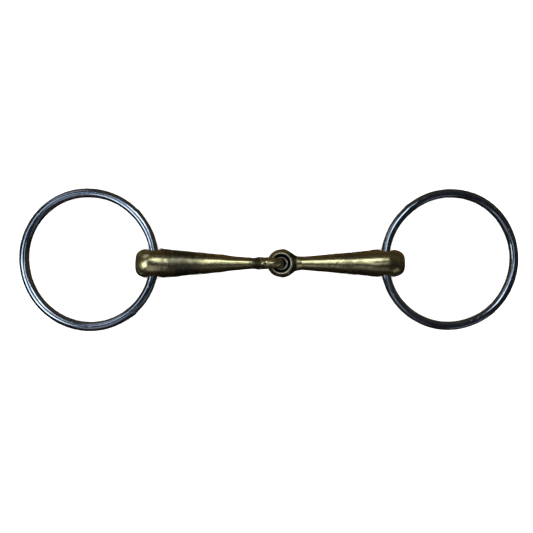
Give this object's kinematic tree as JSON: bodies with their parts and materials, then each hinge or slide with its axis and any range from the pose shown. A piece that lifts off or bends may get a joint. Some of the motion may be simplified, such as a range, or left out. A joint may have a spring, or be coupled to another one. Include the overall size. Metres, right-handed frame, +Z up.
{
  "type": "loose ring snaffle bit",
  "caption": "Single-jointed loose ring snaffle bit: two cast brass-alloy cannons joined by interlinked eyes, each carrying a polished steel ring through a bore in its thick end.",
  "frame": {"origin": "on the surface that the bit lies on, midway between the two ring holes along the mouthpiece and under the line through the rings' centres", "axes": "+X along the mouthpiece from the left cannon to the right cannon, +Y across it in the plane of the lying rings, +Z up"},
  "size_m": [0.284, 0.08, 0.0166],
  "materials": {
    "mouthpiece": "satin",
    "rings": "polished"
  },
  "bodies": {
    "left_half": {"cannon_left": "mouthpiece"},
    "right_half": {"cannon_right": "mouthpiece"},
    "left_ring": {"ring_left": "rings"},
    "right_ring": {"ring_right": "rings"}
  },
  "joints": [
    {"name": "mouth_joint", "type": "hinge", "parent": "left_half", "child": "right_half", "pos_m": [0.0064, -0.0021, 0.0083], "axis": [0, 0, 1], "range_deg": [-100, 100]},
    {"name": "left_ring_swing", "type": "hinge", "parent": "left_half", "child": "left_ring", "pos_m": [-0.0652, -0.0021, 0.0083], "axis": [0, 1, 0], "range_deg": [0, 120]},
    {"name": "right_ring_swing", "type": "hinge", "parent": "right_half", "child": "right_ring", "pos_m": [0.0652, -0.0021, 0.0083], "axis": [0, -1, 0], "range_deg": [0, 120]}
  ]
}
